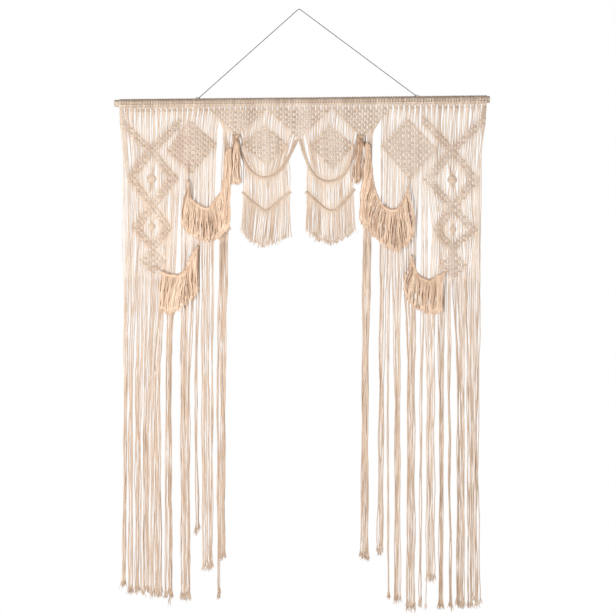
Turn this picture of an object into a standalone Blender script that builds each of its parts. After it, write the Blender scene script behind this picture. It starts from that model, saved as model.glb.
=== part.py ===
"""Macrame doorway curtain: knotted cotton cord on a wooden rod, with the cord that it hangs by.

Metres, +Z up. The curtain hangs in the XZ plane and its front looks along -Y. The origin is the
underside of the hanging cord at its highest point, where the cord rests on a wall hook.
"""
import math
from collections import namedtuple

import bmesh
import bpy
from mathutils import Matrix, Vector

# Cord and clearances
CORD = 0.003                  # thickness of the cotton cord
KNOT_DEPTH = 0.009            # front to back of a square knot
BAND_DEPTH = 0.0086           # front to back of a band that another band crosses
SMALL_DIAMOND_DEPTH = 0.0094  # front to back of the tight knots of a small filled diamond
BIG_KNOT_DEPTH = 0.012        # front to back of the single big knot inside an open diamond
CURVED_BAND_DEPTH = 0.007     # front to back of a curved band of hitches
GAP = 0.0003                  # between pieces that touch
SEAM = 0.001                  # vertical gap along the slanted edges of the valance

# Rod and heading
ROD_LENGTH = 1.199
ROD_RADIUS = 0.011
ROD_SIDES = 32
ROD_EDGE = 0.0015             # rounding of the rod's ends
ROD_MIDDLE = Vector((0.0096, 0.0, -0.2935))
ROD_TILT = math.radians(0.61)  # the right end hangs higher
HEADING_BORE = 0.0114
HEADING_RADIUS = 0.0143
HEADING_SKIRT = 0.0165        # how far below the rod's axis the loops gather
HEADING_LEFT = -0.574         # X of the first loop
HEADING_RIGHT = 0.5995        # X of the last loop

# Hanging cord and its ties
HANGING_CORD = 0.0025
HOOK_RADIUS = 0.006           # bend of the cord over the hook
TIE_X = (-0.319, 0.3716)
TIE_WIDTH = 0.0056            # two turns side by side
TIE_ROOM = 0.0064             # gap in the heading for a tie
TIE_HEIGHT = 0.003

# Curtain
CURTAIN_Y = -0.012            # the plane of the cords, at the front of the rod
NET_BAND = 0.018              # width of the crossing bands
CURVED_BAND = 0.008           # width of the curved bands
OUTER_HEM_LEFT = -0.858       # Z where the long fringe starts below the net
OUTER_HEM_RIGHT = -0.8645
INNER_HEM = -0.743            # Z where it starts behind the inner swags
FRINGE_LIP = 0.008            # height of the strip that joins the strings of a comb

Section = namedtuple("Section", "left right y thickness")
Bundle = namedtuple("Bundle", "left right tip_x tip_z")
Sag = namedtuple("Sag", "top_x top_z tip_x tip_z")
Tip = namedtuple("Tip", "tip_x tip_z")

VALANCE = {
    "left_point": (-0.199, -0.405),
    "left_notch": (-0.1101, -0.3254),
    "middle_point": (-0.0016, -0.4147),
    "right_notch": (0.0989, -0.3254),
    "right_point": (0.1985, -0.408),
}
VALANCE_LEFT = -0.288
VALANCE_RIGHT = 0.2989

# Strings hang in bundles: the edges of each where they have drawn together, and its lower end
LEFT_OUTER_BUNDLES = (
    Bundle(left=-0.5610, right=-0.5490, tip_x=-0.5610, tip_z=-1.847),
    Bundle(left=-0.5400, right=-0.5290, tip_x=-0.5340, tip_z=-1.856),
    Bundle(left=-0.5190, right=-0.4980, tip_x=-0.5110, tip_z=-1.866),
    Bundle(left=-0.4915, right=-0.4815, tip_x=-0.4850, tip_z=-1.870),
    Bundle(left=-0.4755, right=-0.4530, tip_x=-0.4560, tip_z=-1.876),
    Bundle(left=-0.4440, right=-0.4340, tip_x=-0.4330, tip_z=-1.885),
    Bundle(left=-0.4280, right=-0.3950, tip_x=-0.4115, tip_z=-1.901),
)
LEFT_INNER_BUNDLES = (
    Bundle(left=-0.3765, right=-0.3480, tip_x=-0.3590, tip_z=-1.884),
    Bundle(left=-0.3310, right=-0.3200, tip_x=-0.3240, tip_z=-1.700),
    Bundle(left=-0.3130, right=-0.2935, tip_x=-0.2960, tip_z=-1.793),
    Bundle(left=-0.2850, right=-0.2745, tip_x=-0.2790, tip_z=-1.790),
    Bundle(left=-0.2615, right=-0.2550, tip_x=-0.2565, tip_z=-1.881),
    Bundle(left=-0.2490, right=-0.2330, tip_x=-0.2435, tip_z=-1.758),
)
RIGHT_INNER_BUNDLES = (
    Bundle(left=0.2075, right=0.2235, tip_x=0.2075, tip_z=-1.758),
    Bundle(left=0.2570, right=0.2740, tip_x=0.2560, tip_z=-1.745),
    Bundle(left=0.2810, right=0.2920, tip_x=0.2830, tip_z=-1.885),
    Bundle(left=0.3000, right=0.3290, tip_x=0.3120, tip_z=-1.893),
    Bundle(left=0.3445, right=0.3700, tip_x=0.3605, tip_z=-1.920),
)
RIGHT_OUTER_BUNDLES = (
    Bundle(left=0.3880, right=0.3970, tip_x=0.3895, tip_z=-1.914),
    Bundle(left=0.4115, right=0.4340, tip_x=0.4170, tip_z=-1.914),
    Bundle(left=0.4495, right=0.4690, tip_x=0.4530, tip_z=-1.914),
    Bundle(left=0.4755, right=0.4945, tip_x=0.4880, tip_z=-1.917),
    Bundle(left=0.5040, right=0.5325, tip_x=0.5105, tip_z=-1.908),
    Bundle(left=0.5485, right=0.5740, tip_x=0.5610, tip_z=-1.909),
)

# Swags: where the carrier cord runs and where the strands that hang from it end, left to right
LEFT_INNER_SWAG = (
    Sag(top_x=-0.3540, top_z=-0.496, tip_x=-0.3730, tip_z=-0.680),
    Sag(top_x=-0.3410, top_z=-0.596, tip_x=-0.3480, tip_z=-0.722),
    Sag(top_x=-0.3190, top_z=-0.626, tip_x=-0.3200, tip_z=-0.746),
    Sag(top_x=-0.2840, top_z=-0.633, tip_x=-0.2790, tip_z=-0.748),
    Sag(top_x=-0.2510, top_z=-0.603, tip_x=-0.2440, tip_z=-0.728),
    Sag(top_x=-0.2350, top_z=-0.450, tip_x=-0.2200, tip_z=-0.708),
)
RIGHT_INNER_SWAG = (
    Sag(top_x=0.2290, top_z=-0.450, tip_x=0.1890, tip_z=-0.680),
    Sag(top_x=0.2440, top_z=-0.588, tip_x=0.2240, tip_z=-0.722),
    Sag(top_x=0.2700, top_z=-0.632, tip_x=0.2620, tip_z=-0.752),
    Sag(top_x=0.3030, top_z=-0.640, tip_x=0.3080, tip_z=-0.777),
    Sag(top_x=0.3310, top_z=-0.616, tip_x=0.3440, tip_z=-0.748),
    Sag(top_x=0.3560, top_z=-0.510, tip_x=0.3720, tip_z=-0.712),
)
LEFT_OUTER_SWAG = (
    Sag(top_x=-0.4570, top_z=-0.820, tip_x=-0.4430, tip_z=-0.923),
    Sag(top_x=-0.4220, top_z=-0.843, tip_x=-0.4180, tip_z=-0.961),
    Sag(top_x=-0.3960, top_z=-0.845, tip_x=-0.3930, tip_z=-0.966),
    Sag(top_x=-0.3640, top_z=-0.820, tip_x=-0.3600, tip_z=-0.944),
    Sag(top_x=-0.3270, top_z=-0.756, tip_x=-0.3190, tip_z=-0.890),
)
RIGHT_OUTER_SWAG = (
    Sag(top_x=0.3350, top_z=-0.782, tip_x=0.3290, tip_z=-0.900),
    Sag(top_x=0.3640, top_z=-0.828, tip_x=0.3560, tip_z=-0.938),
    Sag(top_x=0.3970, top_z=-0.858, tip_x=0.3960, tip_z=-0.966),
    Sag(top_x=0.4340, top_z=-0.856, tip_x=0.4340, tip_z=-0.973),
    Sag(top_x=0.4810, top_z=-0.832, tip_x=0.4620, tip_z=-0.962),
)


def clear_scene():
    for thing in list(bpy.data.objects):
        bpy.data.objects.remove(thing, do_unlink=True)


def finish(name, colour, roughness):
    """A plain material of one colour."""
    material = bpy.data.materials.new(name)
    material.use_nodes = True
    shader = material.node_tree.nodes["Principled BSDF"]
    shader.inputs["Base Color"].default_value = (*colour, 1.0)
    shader.inputs["Roughness"].default_value = roughness
    shader.inputs["Metallic"].default_value = 0.0
    return material


def add_mesh(name, mesh, material, smooth=False):
    mesh.materials.append(material)
    if smooth:
        mesh.shade_smooth()
        mesh.set_sharp_from_angle(angle=math.radians(40))
    solid = bpy.data.objects.new(name, mesh)
    bpy.context.collection.objects.link(solid)
    return solid


def add_solid(name, verts, faces, material, smooth=False):
    """One named object from a closed mesh, its faces turned outwards."""
    mesh = bpy.data.meshes.new(name)
    mesh.from_pydata(verts, [], faces)
    shape = bmesh.new()
    shape.from_mesh(mesh)
    bmesh.ops.recalc_face_normals(shape, faces=shape.faces)
    shape.to_mesh(mesh)
    shape.free()
    return add_mesh(name, mesh, material, smooth)


def along_rod(x):
    """Z of the rod's axis at this X."""
    return ROD_MIDDLE.z + (x - ROD_MIDDLE.x) * math.tan(ROD_TILT)


def under_heading(x):
    """Z of a panel's top edge at this X."""
    return along_rod(x) - HEADING_SKIRT / math.cos(ROD_TILT) - GAP


def on_rod(solid):
    """Places a solid that was made about the X axis on the rod."""
    solid.matrix_world = Matrix.Translation(ROD_MIDDLE) @ Matrix.Rotation(-ROD_TILT, 4, "Y")


# ---- Rod, heading, ties and hanging cord ----

def turned(name, profile, sides, material):
    """A ring turned about X from a closed profile of (x, radius) points."""
    verts = []
    for k in range(sides):
        turn = math.tau * k / sides
        verts += [(x, radius * math.sin(turn), radius * math.cos(turn)) for x, radius in profile]
    count = len(profile)
    faces = []
    for k in range(sides):
        here = k * count
        after = (k + 1) % sides * count
        for j in range(count):
            nxt = (j + 1) % count
            faces.append((here + j, here + nxt, after + nxt, after + j))
    return add_solid(name, verts, faces, material, smooth=True)


def make_rod(material):
    half = ROD_LENGTH / 2
    inner = half - ROD_EDGE
    verts = []
    stations = (
        (-half, ROD_RADIUS - ROD_EDGE),
        (-inner, ROD_RADIUS),
        (inner, ROD_RADIUS),
        (half, ROD_RADIUS - ROD_EDGE),
    )
    for x, radius in stations:
        for k in range(ROD_SIDES):
            turn = math.tau * k / ROD_SIDES
            verts.append((x, radius * math.sin(turn), radius * math.cos(turn)))
    faces = [tuple(range(ROD_SIDES)), tuple(range(3 * ROD_SIDES, 4 * ROD_SIDES))]
    for ring in range(3):
        for k in range(ROD_SIDES):
            nxt = (k + 1) % ROD_SIDES
            low = ring * ROD_SIDES
            high = low + ROD_SIDES
            faces.append((low + k, low + nxt, high + nxt, high + k))
    on_rod(add_solid("rod", verts, faces, material, smooth=True))


def loop_of(shape, x, points):
    """A closed loop of edges at this X through (y, z) points."""
    verts = [shape.verts.new((x, y, z)) for y, z in points]
    return [shape.edges.new((vert, verts[k - 1])) for k, vert in enumerate(verts)]


def make_heading(name, start, end, material):
    """One run of looped cords round the rod: a sleeve whose skirt at the front holds the cord ends."""
    skirt_front = -0.0152
    skirt_back = -0.0088
    round_from = math.radians(205)
    round_to = math.radians(-95)
    round_points = 24
    outline = [(skirt_front, -HEADING_SKIRT), (skirt_back, -HEADING_SKIRT)]
    for k in range(round_points):
        turn = round_from + (round_to - round_from) * k / (round_points - 1)
        outline.append((HEADING_RADIUS * math.sin(turn), HEADING_RADIUS * math.cos(turn)))
    bore = []
    for k in range(ROD_SIDES):
        turn = math.tau * k / ROD_SIDES
        bore.append((HEADING_BORE * math.sin(turn), HEADING_BORE * math.cos(turn)))
    x = start - ROD_MIDDLE.x
    shape = bmesh.new()
    edges = loop_of(shape, x, outline) + loop_of(shape, x, bore)
    bmesh.ops.bridge_loops(shape, edges=edges)
    grown = bmesh.ops.extrude_face_region(shape, geom=shape.faces[:])
    moved = [part for part in grown["geom"] if isinstance(part, bmesh.types.BMVert)]
    bmesh.ops.translate(shape, verts=moved, vec=(end - start, 0.0, 0.0))
    bmesh.ops.recalc_face_normals(shape, faces=shape.faces)
    mesh = bpy.data.meshes.new(name)
    shape.to_mesh(mesh)
    shape.free()
    on_rod(add_mesh(name, mesh, material, smooth=True))


def make_tie(name, x, material):
    """Two turns of the hanging cord round the rod."""
    middle = x - ROD_MIDDLE.x
    half = TIE_WIDTH / 2
    crown = TIE_HEIGHT / 3
    outside = HEADING_BORE + TIE_HEIGHT
    profile = [
        (middle - half, HEADING_BORE),
        (middle + half, HEADING_BORE),
        (middle + half, outside - crown),
        (middle + half / 2, outside),
        (middle - half / 2, outside),
        (middle - half, outside - crown),
    ]
    on_rod(turned(name, profile, ROD_SIDES, material))


def hanging_route():
    """Centre line of the hanging cord: tie, straight leg, bend over the hook, straight leg, tie."""
    radius = HANGING_CORD / 2
    peak = Vector((0.0, 0.0, radius))
    feet = []
    for x in TIE_X:
        tie_top = Vector((x, 0.0, along_rod(x) + HEADING_BORE + TIE_HEIGHT + GAP))
        slope = (peak - tie_top).normalized()
        feet.append(tie_top + Vector((0.0, 0.0, radius * abs(slope.x) + GAP / 2)))
    left, right = feet
    to_left = (left - peak).normalized()
    to_right = (right - peak).normalized()
    half_corner = to_left.angle(to_right) / 2
    bend = HOOK_RADIUS + radius
    reach = bend / math.tan(half_corner)
    centre = peak + (to_left + to_right).normalized() * (bend / math.sin(half_corner))
    lift = (centre - peak).length - bend
    start = peak + to_left * reach
    stop = peak + to_right * reach
    arc_points = 7
    leg_points = 26
    route = [left.lerp(start, k / leg_points) for k in range(leg_points)]
    first = start - centre
    for k in range(arc_points):
        turn = (math.pi - 2 * half_corner) * k / (arc_points - 1)
        route.append(centre + Matrix.Rotation(turn, 3, "Y") @ first)
    route += [stop.lerp(right, (k + 1) / leg_points) for k in range(leg_points)]
    # The bend cuts the corner, so the route is raised towards its middle until it reaches the peak.
    last = len(route) - 1
    return [point + Vector((0.0, 0.0, lift * (1 - abs(2 * k / last - 1)))) for k, point in enumerate(route)]


def make_hanging_cord(material):
    curve = bpy.data.curves.new("hanging_cord", "CURVE")
    curve.dimensions = "3D"
    route = hanging_route()
    spline = curve.splines.new("POLY")
    spline.points.add(len(route) - 1)
    for place, point in zip(spline.points, route):
        place.co = (*point, 1.0)
    curve.bevel_depth = HANGING_CORD / 2
    curve.bevel_resolution = 2
    curve.use_fill_caps = True
    curve.materials.append(material)
    cord = bpy.data.objects.new("hanging_cord", curve)
    bpy.context.collection.objects.link(cord)


# ---- Knotted panels ----

def slab(name, outline, depth, material):
    """A flat piece of even depth about the curtain's plane, from its (x, z) outline."""
    count = len(outline)
    verts = [(x, CURTAIN_Y - depth / 2, z) for x, z in outline]
    verts += [(x, CURTAIN_Y + depth / 2, z) for x, z in outline]
    faces = [tuple(range(count)), tuple(range(2 * count - 1, count - 1, -1))]
    for k in range(count):
        nxt = (k + 1) % count
        faces.append((k, count + k, count + nxt, nxt))
    return add_solid(name, verts, faces, material)


def band_outline(path, width):
    """Outline of a band of even width along an (x, z) path, with mitred corners."""
    points = [Vector(point) for point in path]
    left = []
    right = []
    for k, point in enumerate(points):
        before = (point - points[k - 1]).normalized() if k else None
        after = (points[k + 1] - point).normalized() if k + 1 < len(points) else None
        before = before or after
        after = after or before
        along = (before + after).normalized()
        side = Vector((-along.y, along.x)) * (width / 2 / along.dot(before))
        left.append(tuple(point + side))
        right.append(tuple(point - side))
    return left + right[::-1]


def boss(centre, half_width, half_height):
    """Eight-sided outline of a single big knot."""
    x, z = centre
    points = []
    for k in range(8):
        turn = math.tau * (k + 0.5) / 8
        points.append((x + half_width * math.cos(turn), z + half_height * math.sin(turn)))
    return points


def raise_knots(panel, raised, material):
    """Joins knotted areas, given as (outline, depth), to a panel, so that they are one solid."""
    areas = [slab("raised", outline, depth, material) for outline, depth in raised]
    for area in areas:
        join = panel.modifiers.new("join", "BOOLEAN")
        join.operation = "UNION"
        join.solver = "EXACT"
        join.object = area
    bpy.context.view_layer.update()
    joined = bpy.data.meshes.new_from_object(
        panel.evaluated_get(bpy.context.evaluated_depsgraph_get()))
    panel.modifiers.clear()
    panel.data = joined
    joined.name = panel.name
    for area in areas:
        bpy.data.objects.remove(area, do_unlink=True)


def make_side_panel_left(material):
    point_x, point_z = VALANCE["left_point"]
    panel = slab("side_panel_left", [
        (HEADING_LEFT, under_heading(HEADING_LEFT)),
        (VALANCE_LEFT - SEAM, under_heading(VALANCE_LEFT - SEAM)),
        (point_x - SEAM, point_z),
        (-0.2170, -0.450),
        (-0.2230, -0.609),
        (-0.2265, INNER_HEM),
        (-0.2540, INNER_HEM),
        (-0.2520, -0.520),
        (-0.2575, -0.460),
        (-0.2670, -0.520),
        (-0.2720, INNER_HEM),
        (-0.3770, INNER_HEM),
        (-0.3755, -0.620),
        (-0.3810, -0.590),
        (-0.3870, -0.620),
        (-0.3940, OUTER_HEM_LEFT),
        (-0.5600, OUTER_HEM_LEFT),
        (-0.5583, -0.546),
        (-0.5646, -0.450),
        (-0.5710, -0.361),
    ], CORD, material)
    first_cross = (-0.4715, -0.453)
    second_cross = (-0.4690, -0.625)
    foot = (-0.4670, -0.757)
    falling = [(-0.562, -0.370), first_cross, (-0.3915, -0.540), second_cross, (-0.5245, -0.696), foot]
    rising = [(-0.394, -0.366), first_cross, (-0.5435, -0.540), second_cross, (-0.4135, -0.696), foot]
    raise_knots(panel, [
        (band_outline(falling, NET_BAND), KNOT_DEPTH),
        (band_outline(rising, NET_BAND), BAND_DEPTH),
        ([(-0.4665, -0.753), (-0.4255, -0.803), (-0.4660, -0.848), (-0.5070, -0.803)],
         SMALL_DIAMOND_DEPTH),
        (boss((-0.4705, -0.542), 0.0165, 0.0135), BIG_KNOT_DEPTH),
        (boss((-0.4690, -0.694), 0.0105, 0.0105), BIG_KNOT_DEPTH),
        ([(-0.3445, -0.362), (-0.2640, -0.431), (-0.3445, -0.523), (-0.4205, -0.453)],
         KNOT_DEPTH),
    ], material)


def make_side_panel_right(material):
    point_x, point_z = VALANCE["right_point"]
    panel = slab("side_panel_right", [
        (VALANCE_RIGHT + SEAM, under_heading(VALANCE_RIGHT + SEAM)),
        (HEADING_RIGHT, under_heading(HEADING_RIGHT)),
        (0.5902, -0.361),
        (0.5774, -0.546),
        (0.5758, -0.705),
        (0.5774, OUTER_HEM_RIGHT),
        (0.3880, OUTER_HEM_RIGHT),
        (0.3890, -0.640),
        (0.3835, -0.600),
        (0.3780, -0.640),
        (0.3740, INNER_HEM),
        (0.2560, INNER_HEM),
        (0.2560, -0.500),
        (0.2440, -0.385),
        (0.2330, -0.500),
        (0.2300, INNER_HEM),
        (0.2042, INNER_HEM),
        (0.2042, -0.482),
        (point_x + SEAM, point_z),
    ], CORD, material)
    first_cross = (0.4881, -0.453)
    second_cross = (0.4881, -0.633)
    foot = (0.4895, -0.763)
    falling = [(0.402, -0.368), first_cross, (0.5655, -0.541), second_cross, (0.4340, -0.706), foot]
    rising = [(0.579, -0.370), first_cross, (0.4035, -0.549), second_cross, (0.5600, -0.704), foot]
    raise_knots(panel, [
        (band_outline(falling, NET_BAND), KNOT_DEPTH),
        (band_outline(rising, NET_BAND), BAND_DEPTH),
        ([(0.4900, -0.758), (0.5300, -0.815), (0.4910, -0.860), (0.4510, -0.815)],
         SMALL_DIAMOND_DEPTH),
        (boss((0.4881, -0.5455), 0.0165, 0.0135), BIG_KNOT_DEPTH),
        (boss((0.4903, -0.703), 0.0105, 0.0105), BIG_KNOT_DEPTH),
        ([(0.3477, -0.354), (0.4340, -0.447), (0.3509, -0.542), (0.2630, -0.440)],
         KNOT_DEPTH),
    ], material)


def make_valance(material):
    slab("valance", [
        (VALANCE_LEFT, under_heading(VALANCE_LEFT)),
        *VALANCE.values(),
        (VALANCE_RIGHT, under_heading(VALANCE_RIGHT)),
    ], KNOT_DEPTH, material)


# ---- Combs of strings ----

def comb(name, teeth, material):
    """One closed comb: each tooth is a list of sections, and the first two join it to the next tooth.

    A section is six-sided: its left and right edges are (x, z) points and it is fullest between them.
    """
    verts = []
    faces = []
    firsts = []
    for tooth in teeth:
        firsts.append(len(verts))
        for part in tooth:
            half = part.thickness / 2
            left_x, left_z = part.left
            right_x, right_z = part.right
            middle_x = (left_x + right_x) / 2
            middle_z = (left_z + right_z) / 2
            verts += [
                (left_x, part.y - half / 2, left_z),
                (middle_x, part.y - half, middle_z),
                (right_x, part.y - half / 2, right_z),
                (right_x, part.y + half / 2, right_z),
                (middle_x, part.y + half, middle_z),
                (left_x, part.y + half / 2, left_z),
            ]
    for number, tooth in enumerate(teeth):
        first = firsts[number]
        last = first + 6 * (len(tooth) - 1)
        for cap in (first, last):
            faces += [(cap, cap + 1, cap + 4, cap + 5), (cap + 1, cap + 2, cap + 3, cap + 4)]
        for part in range(len(tooth) - 1):
            high = first + 6 * part
            low = high + 6
            for k in range(6):
                joins_next = part == 0 and k == 2 and number + 1 < len(teeth)
                joins_last = part == 0 and k == 5 and number > 0
                if not (joins_next or joins_last):
                    nxt = (k + 1) % 6
                    faces.append((high + k, high + nxt, low + nxt, low + k))
        if number + 1 < len(teeth):
            other = firsts[number + 1]
            faces += [
                (first + 2, other, other + 6, first + 8),
                (first + 3, first + 9, other + 11, other + 5),
                (first + 2, first + 3, other + 5, other),
                (first + 8, other + 6, other + 11, first + 9),
            ]
    return add_solid(name, verts, faces, material)


def long_fringe(name, bundles, start, end, hem, material):
    """Strings below a hem that spread from start to end, draw together in bundles and hang free."""
    gather_drop = 0.12
    lip_gap = 0.0015
    top_thickness = CORD
    bundle_thickness = 0.008
    tip_thickness = 0.009
    shares = [bundle.right - bundle.left for bundle in bundles]
    room = end - start - lip_gap * (len(bundles) - 1)
    teeth = []
    x = start
    top = hem - GAP
    for bundle, share in zip(bundles, shares):
        width = room * share / sum(shares)
        x_end = x + width
        gather = hem - gather_drop
        half_tip = 0.4 * share
        middle_z = (gather + bundle.tip_z) / 2
        teeth.append([
            Section((x, top), (x_end, top), CURTAIN_Y, top_thickness),
            Section((x, top - FRINGE_LIP), (x_end, top - FRINGE_LIP), CURTAIN_Y, top_thickness),
            Section((bundle.left, gather), (bundle.right, gather), CURTAIN_Y, bundle_thickness),
            Section((bundle.left, middle_z), (bundle.right, middle_z), CURTAIN_Y, bundle_thickness),
            Section((bundle.tip_x - half_tip, bundle.tip_z), (bundle.tip_x + half_tip, bundle.tip_z),
                    CURTAIN_Y, tip_thickness),
        ])
        x = x_end + lip_gap
    comb(name, teeth, material)


def spread(rows, t):
    """A row between the given ones, on a smooth curve through them, t from 0 to 1."""
    place = t * (len(rows) - 1)
    k = min(int(place), len(rows) - 2)
    f = place - k
    before = rows[max(k - 1, 0)]
    after = rows[min(k + 2, len(rows) - 1)]
    mixed = []
    for a, b, c, d in zip(before, rows[k], rows[k + 1], after):
        bend = (2 * a - 5 * b + 4 * c - d) * f * f + (3 * b - a - 3 * c + d) * f ** 3
        mixed.append(0.5 * (2 * b + (c - a) * f + bend))
    return type(rows[0])(*mixed)


def uneven(k):
    """How far the end of one bundle hangs above or below its neighbours'."""
    return 0.003 * math.sin(2.3 * k + 0.7)


def swag(name, rows, strands, seat_depth, material):
    """A carrier cord that sags between two knotted areas of this depth, with a thick fringe on it."""
    carrier_depth = 0.006
    fringe_depth = 0.012
    bundle_gap = 0.18
    hang = 0.7                # the strands hang plumb at first and splay lower down
    back = CURTAIN_Y - seat_depth / 2 - GAP
    teeth = []
    for k in range(strands):
        left = spread(rows, (k + bundle_gap / 2) / strands)
        right = spread(rows, (k + 1 - bundle_gap / 2) / strands)
        top = ((left.top_x, left.top_z), (right.top_x, right.top_z))
        tip = ((left.tip_x, left.tip_z + uneven(k)), (right.tip_x, right.tip_z + uneven(k)))
        lip = tuple((x, z - FRINGE_LIP) for x, z in top)
        middle = tuple((hang * a[0] + (1 - hang) * b[0], (a[1] + b[1]) / 2) for a, b in zip(top, tip))
        teeth.append([
            Section(*top, back - carrier_depth / 2, carrier_depth),
            Section(*lip, back - carrier_depth / 2, carrier_depth),
            Section(*middle, back - fringe_depth / 2, fringe_depth),
            Section(*tip, back - fringe_depth / 2 - 0.002, fringe_depth),
        ])
    comb(name, teeth, material)


def tassel(name, top_middle, top_half, tip_left, tip_right, material):
    """A short thick tassel in front of a point of the valance."""
    neck_depth = 0.008
    skirt_depth = 0.011
    strands = 4
    bundle_gap = 0.16
    splay = 0.6               # how much of the splay is reached half way down
    back = CURTAIN_Y - KNOT_DEPTH / 2 - GAP
    x, z = top_middle
    teeth = []
    for k in range(strands):
        edges = []
        for t in ((k + bundle_gap / 2) / strands, (k + 1 - bundle_gap / 2) / strands):
            top_x = x + top_half * (2 * t - 1)
            tip_x = tip_left[0] + (tip_right[0] - tip_left[0]) * t
            tip_z = tip_left[1] + (tip_right[1] - tip_left[1]) * t
            edges.append((top_x, tip_x, tip_z))
        top = tuple((top_x, z) for top_x, _, _ in edges)
        lip = tuple((top_x, z - FRINGE_LIP) for top_x, _, _ in edges)
        middle = tuple((top_x + splay * (tip_x - top_x), (z + tip_z) / 2) for top_x, tip_x, tip_z in edges)
        tip = tuple((tip_x, tip_z) for _, tip_x, tip_z in edges)
        teeth.append([
            Section(*top, back - neck_depth / 2, neck_depth),
            Section(*lip, back - neck_depth / 2, neck_depth),
            Section(*middle, back - skirt_depth / 2, skirt_depth),
            Section(*tip, back - skirt_depth / 2, skirt_depth),
        ])
    comb(name, teeth, material)


# ---- Centre pendants and their fringes ----

def pendant_hem(low_middle, left_end, right_end, strands):
    """Points along a pendant's sagging lower edge, two for each bundle of its fringe."""
    bundle_gap = 0.16
    points = []
    for k in range(strands):
        for t in ((k + bundle_gap / 2) / strands, (k + 1 - bundle_gap / 2) / strands):
            sag = 4 * t * (1 - t)
            straight = left_end[1] + (right_end[1] - left_end[1]) * t
            level = (left_end[1] + right_end[1]) / 2 - low_middle
            points.append((left_end[0] + (right_end[0] - left_end[0]) * t, straight - level * sag))
    return points


def make_pendant(side, outline_right, outline_left, motif, curve, hem, fringe_tips, material):
    """Strings with a filled diamond and a curved band, hemmed by a second band, and its fringe."""
    outline = outline_right + hem[::-1] + outline_left
    panel = slab("pendant_" + side, outline, CORD, material)
    rim = 0.0012              # strings that show below the second band
    inset = CURVED_BAND / 2 + rim
    inner_hem = hem[1:-1]
    lower_band = band_outline(inner_hem, 2 * inset)[:len(inner_hem)]
    raise_knots(panel, [
        (motif, KNOT_DEPTH),
        (band_outline(curve, CURVED_BAND), CURVED_BAND_DEPTH),
        (band_outline(lower_band, CURVED_BAND), CURVED_BAND_DEPTH),
    ], material)
    drop = 2 * GAP
    fringe_depth = 0.006
    bundle_gap = 0.12
    teeth = []
    strands = len(hem) // 2
    for k in range(strands):
        top = tuple((x, z - drop) for x, z in hem[2 * k:2 * k + 2])
        lip = tuple((x, z - FRINGE_LIP) for x, z in top)
        ends = []
        for t in ((k + bundle_gap / 2) / strands, (k + 1 - bundle_gap / 2) / strands):
            row = spread(fringe_tips, t)
            ends.append((row.tip_x, row.tip_z + uneven(k)))
        middle = tuple(((a[0] + b[0]) / 2, (a[1] + b[1]) / 2) for a, b in zip(top, ends))
        teeth.append([
            Section(*top, CURTAIN_Y, CORD),
            Section(*lip, CURTAIN_Y, CORD),
            Section(*middle, CURTAIN_Y, fringe_depth),
            Section(*ends, CURTAIN_Y, fringe_depth),
        ])
    comb("pendant_fringe_" + side, teeth, material)


def make_pendant_left(material):
    notch_x, notch_z = VALANCE["left_notch"]
    middle_x, middle_z = VALANCE["middle_point"]
    point_x, point_z = VALANCE["left_point"]
    hem = pendant_hem(-0.652, (-0.1780, -0.597), (-0.0262, -0.589), 11)
    tips = [
        Tip(tip_x=-0.1850, tip_z=-0.709),
        Tip(tip_x=-0.1499, tip_z=-0.744),
        Tip(tip_x=-0.1148, tip_z=-0.760),
        Tip(tip_x=-0.0734, tip_z=-0.745),
        Tip(tip_x=-0.0260, tip_z=-0.727),
    ]
    make_pendant(
        "left",
        [(notch_x, notch_z - SEAM), (middle_x - SEAM, middle_z - SEAM / 4), (-0.0223, -0.466),
         (-0.0320, -0.500), (-0.0275, -0.545)],
        [(-0.1786, -0.514), (-0.1850, -0.450), (point_x + SEAM, point_z - SEAM / 4)],
        [(-0.1085, -0.375), (-0.0400, -0.434), (-0.1053, -0.498), (-0.1770, -0.436)],
        [(-0.172, -0.478), (-0.154, -0.514), (-0.134, -0.532), (-0.1085, -0.539), (-0.083, -0.532),
         (-0.061, -0.512), (-0.040, -0.478)],
        hem, tips, material)


def make_pendant_right(material):
    notch_x, notch_z = VALANCE["right_notch"]
    middle_x, middle_z = VALANCE["middle_point"]
    point_x, point_z = VALANCE["right_point"]
    hem = pendant_hem(-0.652, (0.0225, -0.588), (0.1745, -0.583), 11)
    tips = [
        Tip(tip_x=0.0195, tip_z=-0.709),
        Tip(tip_x=0.0574, tip_z=-0.738),
        Tip(tip_x=0.0989, tip_z=-0.752),
        Tip(tip_x=0.1404, tip_z=-0.736),
        Tip(tip_x=0.1800, tip_z=-0.713),
    ]
    make_pendant(
        "right",
        [(notch_x, notch_z - SEAM), (point_x - SEAM, point_z - SEAM / 4), (0.1786, -0.450),
         (0.1735, -0.514)],
        [(0.0230, -0.545), (0.0290, -0.505), (0.0191, -0.475),
         (middle_x + SEAM, middle_z - SEAM / 4)],
        [(0.0989, -0.375), (0.1690, -0.434), (0.1037, -0.507), (0.0400, -0.439)],
        [(0.040, -0.489), (0.0525, -0.522), (0.074, -0.543), (0.0989, -0.550), (0.124, -0.542),
         (0.145, -0.520), (0.161, -0.486)],
        hem, tips, material)


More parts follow.
